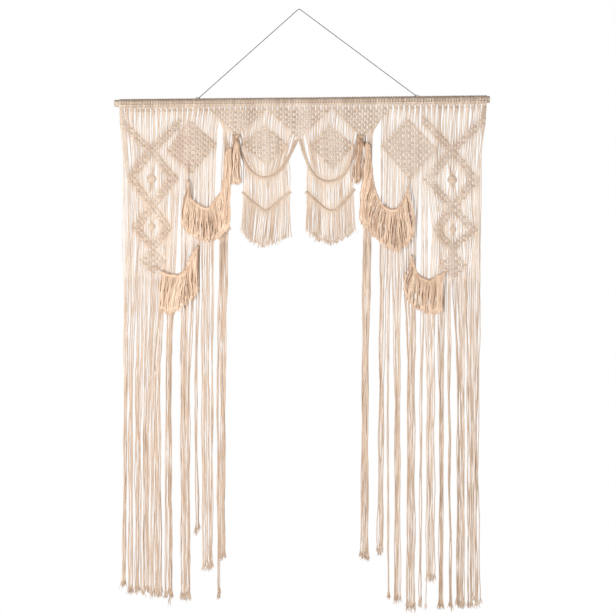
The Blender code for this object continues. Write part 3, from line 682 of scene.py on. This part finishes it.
def big_knot(piece, u, count, x, z, half_width, half_height):
    """Gathers count cords about place u, and ties doubled working cords round them."""
    first = round(4 * u) - count // 2
    inside = half_width * 0.62            # the gathered cords fill this much of it
    for k in range(count):
        offset = inside * (2 * k / (count - 1) - 1)
        depth = layered(k, 0.0012)
        pass_through(piece, first + k, [
            (x + offset * 0.9, depth, z + half_height), (x + offset * 0.75, depth, z),
            (x + offset * 0.9, depth, z - half_height)])
    scale = np.array((half_width / knot_half_width, 1.7, half_height / knot_half_height))
    for worker in (left_worker, right_worker):
        for lane in (-1.5, -0.5, 0.5, 1.5):
            path = worker * scale + (0.0, 0.0, lane * cord * 0.85)
            round_off = np.sqrt(1 - 0.75 * np.minimum(1.0, np.abs(path[:, 2]) / (half_height * 1.25)) ** 2)
            path[:, :2] *= round_off[:, None]
            big_knots.append((piece, with_radius(path + (x, curtain_y, z), cord_radius)))


big_knot("side_panel_left", 6, 8, -0.4705, -0.542, 0.0145, 0.0110)
big_knot("side_panel_left", 6, 6, -0.4690, -0.694, 0.0100, 0.0085)
big_knot("side_panel_right", 62, 8, 0.4881, -0.5455, 0.0145, 0.0110)
big_knot("side_panel_right", 62, 6, 0.4903, -0.703, 0.0100, 0.0085)


# ---- Pendant bands ----
# Below its diamond each pendant has two sagging bands: a holding cord on which every cord of the
# pendant is hitched twice, so that it reads as a rope of small wraps.

hitch_spacing = 0.0031        # along the holding cord
hitch_reach = 0.0043          # across the band, from the holding cord's middle
hitch_depth = 0.0033
panel_cords = {
    # The cords of each panel, counted from the left.
    "side_panel_left": range(0, 90),
    "pendant_left": range(90, 136),
    "pendant_right": range(136, 182),
    "side_panel_right": range(182, 272),
}


def curve_through(points, count):
    """A smooth curve through these points, evenly spaced."""
    points = np.array(points, float)
    padded = np.vstack([2 * points[0] - points[1], points, 2 * points[-1] - points[-2]])
    fine = []
    for a, b, c, d in zip(padded, padded[1:], padded[2:], padded[3:]):
        for t in np.linspace(0, 1, 40, endpoint=False):
            fine.append(0.5 * (2 * b + (c - a) * t + (2 * a - 5 * b + 4 * c - d) * t ** 2
                               + (3 * b - a - 3 * c + d) * t ** 3))
    fine = np.array(fine + [points[-1]])
    run = lengths_along(fine)
    even = np.linspace(0, run[-1], count)
    return np.stack([np.interp(even, run, fine[:, k]) for k in range(fine.shape[1])], -1)


band_loops = {"pendant_left": [], "pendant_right": []}


def hitched_band(piece, path):
    """The holding cord and the hitches on it, along an (x, z) path."""
    line = curve_through(path, 60)
    centre = np.insert(line, 1, curtain_y, axis=1)
    band_loops[piece].append(with_radius(centre, cord_radius))
    spots = curve_through(path, int(lengths_along(line)[-1] / hitch_spacing))
    along = np.gradient(spots, axis=0)
    along /= np.linalg.norm(along, axis=1)[:, None]
    for (x, z), (ax, az) in zip(spots, along):
        loop = []
        lean = 0.0012 + chance.normal(0, 0.0004)
        swell = chance.normal(1.0, 0.08)
        for k in range(11):
            turn = math.tau * k / 10
            around = swell * hitch_reach * math.cos(turn)
            shift = lean * math.sin(turn)
            depth = curtain_y - hitch_depth * math.sin(turn)
            loop.append((x - az * around + ax * shift, depth, z + ax * around + az * shift))
        band_loops[piece].append(with_radius(loop, cord_radius * 0.95))
    return line


def spread(numbers):
    """Each cord of a run of cords, and where it lies across the run, from 0 to 1."""
    return [(number, (number - numbers[0] + 0.5) / len(numbers)) for number in numbers]


def pendant_cords(piece, upper, lower, upper_span, lower_span):
    """Each cord of a pendant runs through its two bands, evenly spread."""
    for number, t in spread(panel_cords[piece]):
        for line, (left, right) in ((upper, upper_span), (lower, lower_span)):
            x = left + (right - left) * t
            order = np.argsort(line[:, 0])
            z = np.interp(x, line[order, 0], line[order, 1])
            pass_through(piece, number, [(x, curtain_y, z + 0.003), (x, curtain_y, z - 0.003)])


upper_left = hitched_band("pendant_left", [
    (-0.1965, -0.4100), (-0.1870, -0.4500), (-0.1755, -0.4817), (-0.1563, -0.5150), (-0.1340, -0.5330),
    (-0.1085, -0.5391), (-0.0830, -0.5320), (-0.0606, -0.5136), (-0.0383, -0.4817), (-0.0223, -0.4498),
    (-0.0064, -0.4180)])
lower_left = hitched_band("pendant_left", [
    (-0.1790, -0.5860), (-0.1563, -0.6093), (-0.1290, -0.6310), (-0.1053, -0.6440), (-0.0830, -0.6310),
    (-0.0606, -0.6093), (-0.0275, -0.5838)])
upper_right = hitched_band("pendant_right", [
    (0.0035, -0.4180), (0.0110, -0.4450), (0.0225, -0.4780), (0.0383, -0.5168), (0.0606, -0.5420),
    (0.0989, -0.5519), (0.1300, -0.5391), (0.1531, -0.5136), (0.1690, -0.4753), (0.1830, -0.4450),
    (0.1960, -0.4110)])
lower_right = hitched_band("pendant_right", [
    (0.0225, -0.5838), (0.0606, -0.6189), (0.0850, -0.6380), (0.1085, -0.6440), (0.1250, -0.6340),
    (0.1404, -0.6189), (0.1754, -0.5758)])
pendant_cords("pendant_left", upper_left, lower_left, (-0.1775, -0.0330), (-0.1775, -0.0285))
pendant_cords("pendant_right", upper_right, lower_right, (0.0255, 0.1705), (0.0235, 0.1740))


# ---- Laying the cords ----
# Every cord runs in one length from its loop on the rod, through its knots, to its cut end. Where
# it passes from one part of the curtain to the next, it is parted there.

knotted_parts = ("side_panel_left", "side_panel_right", "valance", "pendant_left", "pendant_right")
strands = {part: [] for part in knotted_parts}


def free_run(start, stop, step=0.024, sway=0.0012):
    """A stretch of free cord between two points, without its ends. Long ones sway a little."""
    length = np.linalg.norm(stop[:3] - start[:3])
    count = int(length / step)
    t = np.arange(1, count + 1) / (count + 1)
    points = with_radius(start[:3] + (stop[:3] - start[:3]) * t[:, None], drawn_radius)
    bow = np.sin(math.pi * t)
    points[:, 0] += bow * chance.normal(0, sway * min(1.0, length / 0.1)) * 1.5
    points[:, 1] += bow * chance.normal(0, sway)
    points[:, 0] += chance.normal(0, sway * 0.35, count)
    return points


ply_radii = np.array((0.0009, 0.0010, 0.0006))


# The callers give the opened plies a lighter shade than their cord, a painted highlight for the light the
# loose plies catch.
def frayed_end(path, shade, length, plies=3):
    """The plies of a cut end, come apart: each thickens a little and runs out thin."""
    direction = path[-1] - path[-2]
    direction = direction / np.linalg.norm(direction)
    ends = []
    for k in range(plies):
        turn = math.tau * (k + chance.uniform(0, 0.6)) / plies
        out = np.array((math.cos(turn), 0.7 * math.sin(turn), 0.0))
        flare = chance.uniform(0.08, 0.28)
        drop = length * chance.uniform(0.6, 1.1)
        start = path[-1] - direction * 0.002 + out * 0.0007
        middle = start + direction * drop * 0.55 + out * drop * flare * 0.45
        end = start + direction * drop + out * drop * flare
        ends.append((np.array([start, middle, end]), ply_radii, shade))
    return ends


def panel_of(number):
    """The panel to which a cord goes below the valance."""
    return next(panel for panel, numbers in panel_cords.items() if number in numbers)


hem_points = {}
plumb_drop = 0.20             # a cord whose last knot is nearer the hem hangs straight down from it


def hem(first, last, left, right, height, by):
    """Where these cords cross the line from which they hang free as fringe."""
    for number, t in spread(range(first, last)):
        t += chance.normal(0, 0.22) / (last - first)
        x = left + (right - left) * t
        lowest = min((points[-1] for _, points in stops[number]), key=lambda end: end[2])
        plumb = max(0.0, 1.0 - max(0.0, lowest[2] - height) / plumb_drop)
        x += (lowest[0] - x) * plumb
        height_here = height + chance.uniform(-0.008, 0.008)
        hem_points[number] = np.array((x, layered(number, by), height_here))


left_panel_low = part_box("side_panel_left")[0]
right_panel_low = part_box("side_panel_right")[0]
inner_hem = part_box("long_fringe_left_inner")[1].z
hem(0, 48, -0.5600, -0.3940, left_panel_low.z, by=0.0008)
hem(48, 76, -0.3770, -0.2700, inner_hem, by=0.0008)
hem(76, 90, -0.2540, -0.2265, inner_hem, by=0.0016)
hem(182, 196, 0.2042, 0.2300, inner_hem, by=0.0016)
hem(196, 224, 0.2560, 0.3740, inner_hem, by=0.0008)
hem(224, 272, 0.3880, 0.5784, right_panel_low.z, by=0.0008)

# The two outermost cords of each side hang straight down past the points of the net's bands.
for number, x in ((0, -0.5600), (1, -0.5555), (270, 0.5750), (271, 0.5800)):
    pass_through(panel_of(number), number, [(x, curtain_y, -0.470), (x, curtain_y, -0.620)])


def draw_together(first, last, left, right, left_height, right_height):
    """Cords that close up into a strip as soon as they leave the valance's edge."""
    for number, t in spread(range(first, last)):
        x = left + (right - left) * t
        height = left_height + (right_height - left_height) * t
        x += chance.normal(0, 0.0005)
        pass_through(panel_of(number), number, [(x, layered(number, 0.0015), height)])


draw_together(76, 90, -0.2410, -0.2110, -0.385, -0.490)
draw_together(182, 196, 0.2080, 0.2345, -0.510, -0.385)


def laid(number, path):
    """A cord's points, thickness and shade: its own tone, with painted shade where it is tied in knots and
    painted light where it hangs free.
    """
    path = np.vstack(path)
    return path[:, :3], path[:, 3], 1.2 * own_shade[number] + 0.4 * path[:, 4] - 0.18


knot_end = {}                 # where each cord leaves its last knot or crosses the hem
leaning = {}                  # and how far it leans sideways there, for each metre down
for number in range(cords_in_all):
    x = head_x(number // 2) + strand_gap * (1 if number % 2 else -1)
    # The cord starts just under its loop on the rod, painted in shade there.
    pen = np.array((x, -rod_radius - cord_radius * 1.05, rod_axis(x) - loop_drop + 0.0003, cord_radius, 0.0))
    here = sorted(stops[number], key=lambda stop: -stop[1][:, 2].max())
    if number in hem_points:
        here.append((panel_of(number), with_radius([hem_points[number]], drawn_radius)))
    piece = here[0][0]
    path = [pen[None]]
    for next_piece, points in here:
        if next_piece != piece:
            if len(path) > 1:
                strands[piece].append(laid(number, path))
            piece = next_piece
            path = [pen[None]]
        path += [free_run(pen, points[0]), points]
        pen = points[-1]
    strands[piece].append(laid(number, path))
    knot_end[number] = pen[:3]
    step = pen - np.vstack(path)[-2]
    leaning[number] = step[0] / -step[2]

# Big knots and bands are painted darker than free cord, the same painted shade as the other knots.
for piece, path in big_knots:
    strands[piece].append((path[:, :3], path[:, 3], chance.uniform(0.1, 0.6)))
for piece, loops in band_loops.items():
    strands[piece] += [(path[:, :3], path[:, 3], chance.uniform(0.0, 0.4)) for path in loops]

for name in knotted_parts:
    body = spin(name + "_knotted", strands[name], cotton)
    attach(body, "root")
    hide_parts(name)


# ---- Long fringe ----
# Below the net the cords hang free almost to the floor. They draw together in loose bundles, and
# each ends where it was cut, with its plies a little open.

bundled_below = 0.25          # a cord has joined its bundle this far under the hem,
bundled_later = 0.35          # or up to so much further down
ply_room = 0.020              # left below a cord's end for its opened plies
waves_down = 21.0             # of a cord's slight wave, in radians for each metre


def gently(t):
    """From 0 to 1, with a slow start and a slow end."""
    return t * t * (3 - 2 * t)


def long_fringe(name, first, bundles):
    """Bundles are (cords, left edge, right edge, end x, end height)."""
    hanging = []
    for cords_here, left, right, end_x, end_z in bundles:
        room = right - left - 2 * drawn_radius
        for number, t in spread(range(first, first + cords_here)):
            top = hem_points[number]
            t += chance.normal(0, 0.35) / cords_here
            x = left + drawn_radius + room * min(max(t, 0.0), 1.0)
            depth = curtain_y + chance.uniform(-0.0024, 0.0024)
            tip_x = end_x + (x - (left + right) / 2) * 1.1 + chance.normal(0, 0.0020)
            tip_z = end_z + ply_room + abs(chance.normal(0, 0.009))
            gather = top[2] - bundled_below - chance.uniform(0, bundled_later)
            path = [top]
            wave = chance.uniform(0, math.tau)
            size = chance.uniform(0.0006, 0.0020)
            for z in np.arange(top[2] - 0.03, tip_z + 0.01, -0.034):
                fallen = top[2] - z
                drawn = gently(min(1.0, fallen / (top[2] - gather)))
                low = max(0.0, (gather - z) / (gather - tip_z))
                carried_on = leaning[number] * fallen * math.exp(-fallen / 0.03)
                across = top[0] + carried_on + (x - top[0]) * drawn + (tip_x - x) * low ** 1.5
                across += size * math.sin(wave + z * waves_down) * min(1.0, fallen / 0.1)
                across += chance.normal(0, 0.0005)
                forward = top[1] + (depth - top[1]) * drawn + 0.0006 * math.cos(wave + z * waves_down)
                path.append((across, forward, z))
            path.append((tip_x, depth, tip_z))
            path = np.vstack(path)
            # Cords differ in shade, and each is painted a little darker towards its cut end: painted shade
            # for the dimmer light low down.
            shade = 1.5 * own_shade[number] - 0.62 - 0.45 * np.linspace(0, 1, len(path)) ** 1.5
            hanging.append((path, drawn_radius, shade))
            hanging += frayed_end(path, shade[-1] + 0.15, length=0.027, plies=5)
        first += cords_here
    fringe = spin(name + "_cords", hanging, cotton)
    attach(fringe, "root")
    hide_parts(name)


long_fringe("long_fringe_left_outer", 0, (
    (6, -0.5610, -0.5470, -0.5580, -1.845), (6, -0.5470, -0.5290, -0.5370, -1.864),
    (7, -0.5240, -0.5020, -0.5130, -1.867), (8, -0.4985, -0.4765, -0.4880, -1.868),
    (12, -0.4740, -0.4385, -0.4560, -1.874), (8, -0.4275, -0.4040, -0.4150, -1.878),
    (1, -0.4130, -0.4110, -0.4120, -1.901)))
long_fringe("long_fringe_left_inner", 48, (
    (13, -0.3790, -0.3465, -0.3615, -1.884), (4, -0.3345, -0.3225, -0.3245, -1.678),
    (8, -0.3130, -0.2850, -0.2950, -1.791), (3, -0.2800, -0.2740, -0.2790, -1.788),
    (4, -0.2630, -0.2560, -0.2580, -1.881), (10, -0.2530, -0.2330, -0.2430, -1.756)))
long_fringe("long_fringe_right_inner", 182, (
    (14, 0.2000, 0.2220, 0.2090, -1.756), (6, 0.2540, 0.2710, 0.2580, -1.742),
    (3, 0.2790, 0.2880, 0.2870, -1.883), (8, 0.3030, 0.3240, 0.3130, -1.893),
    (11, 0.3440, 0.3715, 0.3570, -1.920)))
long_fringe("long_fringe_right_outer", 224, (
    (3, 0.3840, 0.3920, 0.3870, -1.913), (8, 0.4075, 0.4325, 0.4200, -1.826),
    (1, 0.4060, 0.4080, 0.4060, -1.915), (7, 0.4466, 0.4625, 0.4530, -1.914),
    (4, 0.4749, 0.4838, 0.4830, -1.915), (11, 0.5015, 0.5298, 0.5130, -1.907),
    (14, 0.5351, 0.5724, 0.5560, -1.908)))


# ---- Pendant fringes ----
# Below the second band the pendants' own cords hang free for a hand's breadth. They are cut off in
# a curve, lowest in the middle, and their ends have come open.

def pendant_fringe(name, numbers, ends):
    """Ends are (x, height) along the cut, from left to right."""
    ends = np.array(ends)
    marks = np.linspace(0, 1, len(ends))
    hanging = []
    for number, t in spread(numbers):
        top = knot_end[number]
        tip_x = np.interp(t, marks, ends[:, 0]) + chance.normal(0, 0.0010)
        tip_z = np.interp(t, marks, ends[:, 1]) + 0.013 + chance.normal(0, 0.0035)
        tip = np.array((tip_x, layered(number, 0.0012), tip_z))
        path = np.vstack([top, free_run(top, tip, 0.025, 0.0008)[:, :3], tip])
        shade = 1.3 * own_shade[number] - 0.4
        hanging.append((path, drawn_radius, shade))
        hanging += frayed_end(path, shade + 0.5, length=0.018)
    fringe = spin(name + "_cords", hanging, cotton)
    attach(fringe, "root")
    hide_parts(name)


pendant_fringe("pendant_fringe_left", panel_cords["pendant_left"], (
    (-0.1850, -0.709), (-0.1499, -0.744), (-0.1148, -0.760), (-0.0734, -0.745), (-0.0260, -0.727)))
pendant_fringe("pendant_fringe_right", panel_cords["pendant_right"], (
    (0.0195, -0.709), (0.0574, -0.738), (0.0989, -0.752), (0.1404, -0.736), (0.1800, -0.713)))


# ---- Swags and tassels ----
# A swag is a carrier cord slung between two knotted parts, with short doubled cords of a warmer
# cotton looped on it side by side, in two layers. A tassel is the same on a carrier only as wide as
# a finger.

warm_cotton = cord_finish("fringe_cotton", (1.0, 0.79, 0.60), (0.33, 0.165, 0.09),
                          lay=0.011, unevenness=1.1, painted_groove_shade=0.4)
swag_spacing = 0.0044         # of the looped cords along the carrier
tassel_spacing = 0.0016
clump_width = 0.0095          # the cords fall together in clumps about this wide
layer_depth = 0.0052          # from the back layer of cords to the front one
cord_bend = 0.015             # length of one bend of a falling cord


def crossed_ties(rows, carrier_y):
    """Two cords laid crosswise over the head of a tassel."""
    half = (rows[-1, 0] - rows[0, 0]) / 2 + 0.0045
    ties = []
    for side in (-1, 1):
        tie = np.array([
            (-half, -0.0030, 0.003), (-half * 0.8, -0.0085, -0.003), (0, -0.0115 - 0.002 * side, -0.016),
            (half * 0.9, -0.0125, -0.030), (half * 1.1, -0.0060, -0.035)])
        tie = tie * (side, 1, 1) + (rows[len(rows) // 2, 0], carrier_y, rows[0, 1])
        ties.append((curve_through(tie, 16), cord_radius * 0.9, -0.2))
    return ties


def falling(start, lane, depth, tip_z, wave, sway):
    """The free length of a looped cord: it swings over to its lane, and waves a little on its way."""
    drop = start[2] - tip_z
    steps = max(int(drop / cord_bend), 4)
    wave += chance.uniform(0, 3.2)
    body = [start]
    for k in range(1, steps + 1):
        t = k / steps
        swing = 0.0015 * math.sin(wave + drop * t * 95) * min(1.0, 4 * t) + sway * math.sin(math.pi * t)
        x = start[0] + (lane - start[0]) * gently(min(1.0, t / 0.8)) + swing + chance.normal(0, 0.0003)
        body.append((x, start[1] + (depth - start[1]) * min(1.0, 4 * t), start[2] - drop * t))
    return np.array(body)


def looped_fringe(name, rows, spacing, bare=(0.0, 0.0), crossed=False):
    """Rows are (carrier x, carrier height, end x, end height), from left to right."""
    rows = np.array(rows, float)
    fine = curve_through(rows, 400)
    # On a steep stretch the loops slide together, so its height counts for less than its width.
    run = lengths_along(fine[:, :2] * (1.0, 0.45))
    carrier_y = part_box(name)[1].y - cord_radius * 2 - 0.0006
    hanging = [(np.insert(fine[::12, :2], 1, carrier_y, axis=1), cord_radius, 0.4)]
    if crossed:
        hanging += crossed_ties(rows, carrier_y)
    looped = run[-1] - sum(bare)
    count = int(looped / spacing)
    span = rows[-1, 2] - rows[0, 2]
    clumps = max(round(span / clump_width), 2)
    waves = chance.uniform(0, math.tau, clumps + 1)
    sways = chance.normal(0, 0.0016, clumps + 1)
    for layer in (0, 1):
        for k in range(count):
            at = (k + 0.3 + 0.4 * layer + chance.normal(0, 0.1)) / count
            at = bare[0] + looped * min(max(at, 0), 1)
            x, z, end_x, end_z = (np.interp(at, run, fine[:, n]) for n in range(4))
            x += chance.normal(0, 0.0006)
            z -= 0.002 * (1 - layer)
            head = larks_head(cord_radius, 0.006, strand_gap) + (x, carrier_y - 0.001 * layer, z)
            hanging.append((head, cord_radius * 0.97, chance.uniform(0.2, 0.9)))
            for side, start in ((-1, head[0]), (1, head[-1])):
                # The back layer is painted darker than the front one, and one cord in four darker still:
                # painted shade for the gaps between the cords.
                shade = chance.uniform(0.5, 1.2) if layer else chance.uniform(-0.1, 0.7)
                shade -= 0.7 * (chance.uniform() < 0.25)
                if crossed:
                    shade = 1.6 * shade - 0.8
                lane = end_x + side * strand_gap + chance.normal(0, 0.0016)
                place = (lane - rows[0, 2]) / span * clumps + 0.5 * layer
                clump = min(max(int(place), 0), clumps)
                middle = rows[0, 2] + (clump + 0.5 - 0.5 * layer) / clumps * span
                lane += (middle - lane) * chance.uniform(0.0, 0.25)
                depth = carrier_y - 0.0030 - layer_depth * layer - chance.uniform(0, 0.0025)
                tip_z = end_z + 0.014 + chance.normal(0, 0.0035)
                body = falling(start, lane, depth, tip_z, waves[clump], sways[clump])
                hanging.append((body, cord_radius * 0.86, shade))
                hanging += frayed_end(body, shade + 0.6, length=0.017)
    fringe = spin(name + "_cords", hanging, warm_cotton)
    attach(fringe, "root")
    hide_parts(name)


looped_fringe("inner_swag_left", (
    (-0.3540, -0.496, -0.3720, -0.676), (-0.3500, -0.570, -0.3650, -0.695),
    (-0.3430, -0.604, -0.3500, -0.716), (-0.3094, -0.631, -0.3110, -0.738),
    (-0.2839, -0.633, -0.2790, -0.742), (-0.2620, -0.604, -0.2520, -0.730),
    (-0.2430, -0.575, -0.2390, -0.714), (-0.2350, -0.510, -0.2330, -0.709),
    (-0.2280, -0.452, -0.2270, -0.705), (-0.2165, -0.448, -0.2220, -0.702)),
    swag_spacing, bare=(0.022, 0.0))
looped_fringe("inner_swag_right", (
    (0.2100, -0.434, 0.1970, -0.678), (0.2210, -0.434, 0.2010, -0.684),
    (0.2280, -0.490, 0.2060, -0.690), (0.2370, -0.560, 0.2160, -0.698),
    (0.2560, -0.612, 0.2420, -0.730), (0.2800, -0.636, 0.2720, -0.752),
    (0.3080, -0.640, 0.3080, -0.777), (0.3320, -0.610, 0.3440, -0.750),
    (0.3480, -0.570, 0.3640, -0.722), (0.3560, -0.510, 0.3710, -0.706)),
    swag_spacing, bare=(0.0, 0.028))
looped_fringe("outer_swag_left", (
    (-0.4570, -0.8200, -0.4450, -0.948), (-0.4380, -0.8360, -0.4400, -0.957),
    (-0.4169, -0.8455, -0.4250, -0.966), (-0.3800, -0.8470, -0.3960, -0.968),
    (-0.3583, -0.8250, -0.3690, -0.950), (-0.3440, -0.7900, -0.3420, -0.930),
    (-0.3230, -0.7580, -0.3200, -0.900)), swag_spacing, bare=(0.02, 0.0))
looped_fringe("outer_swag_right", (
    (0.3567, -0.783, 0.3320, -0.900), (0.3660, -0.820, 0.3480, -0.930),
    (0.3800, -0.848, 0.3750, -0.956), (0.4120, -0.866, 0.4080, -0.970),
    (0.4420, -0.852, 0.4380, -0.972), (0.4600, -0.842, 0.4560, -0.966),
    (0.4810, -0.832, 0.4620, -0.960)), swag_spacing, bare=(0.0, 0.02))
looped_fringe("tassel_left", (
    (-0.2055, -0.405, -0.2140, -0.553), (-0.1990, -0.407, -0.2010, -0.560),
    (-0.1925, -0.405, -0.1860, -0.556)), tassel_spacing, crossed=True)
looped_fringe("tassel_right", (
    (0.1890, -0.407, 0.1735, -0.551), (0.1950, -0.409, 0.1870, -0.557),
    (0.2010, -0.407, 0.2000, -0.553)), tassel_spacing, crossed=True)
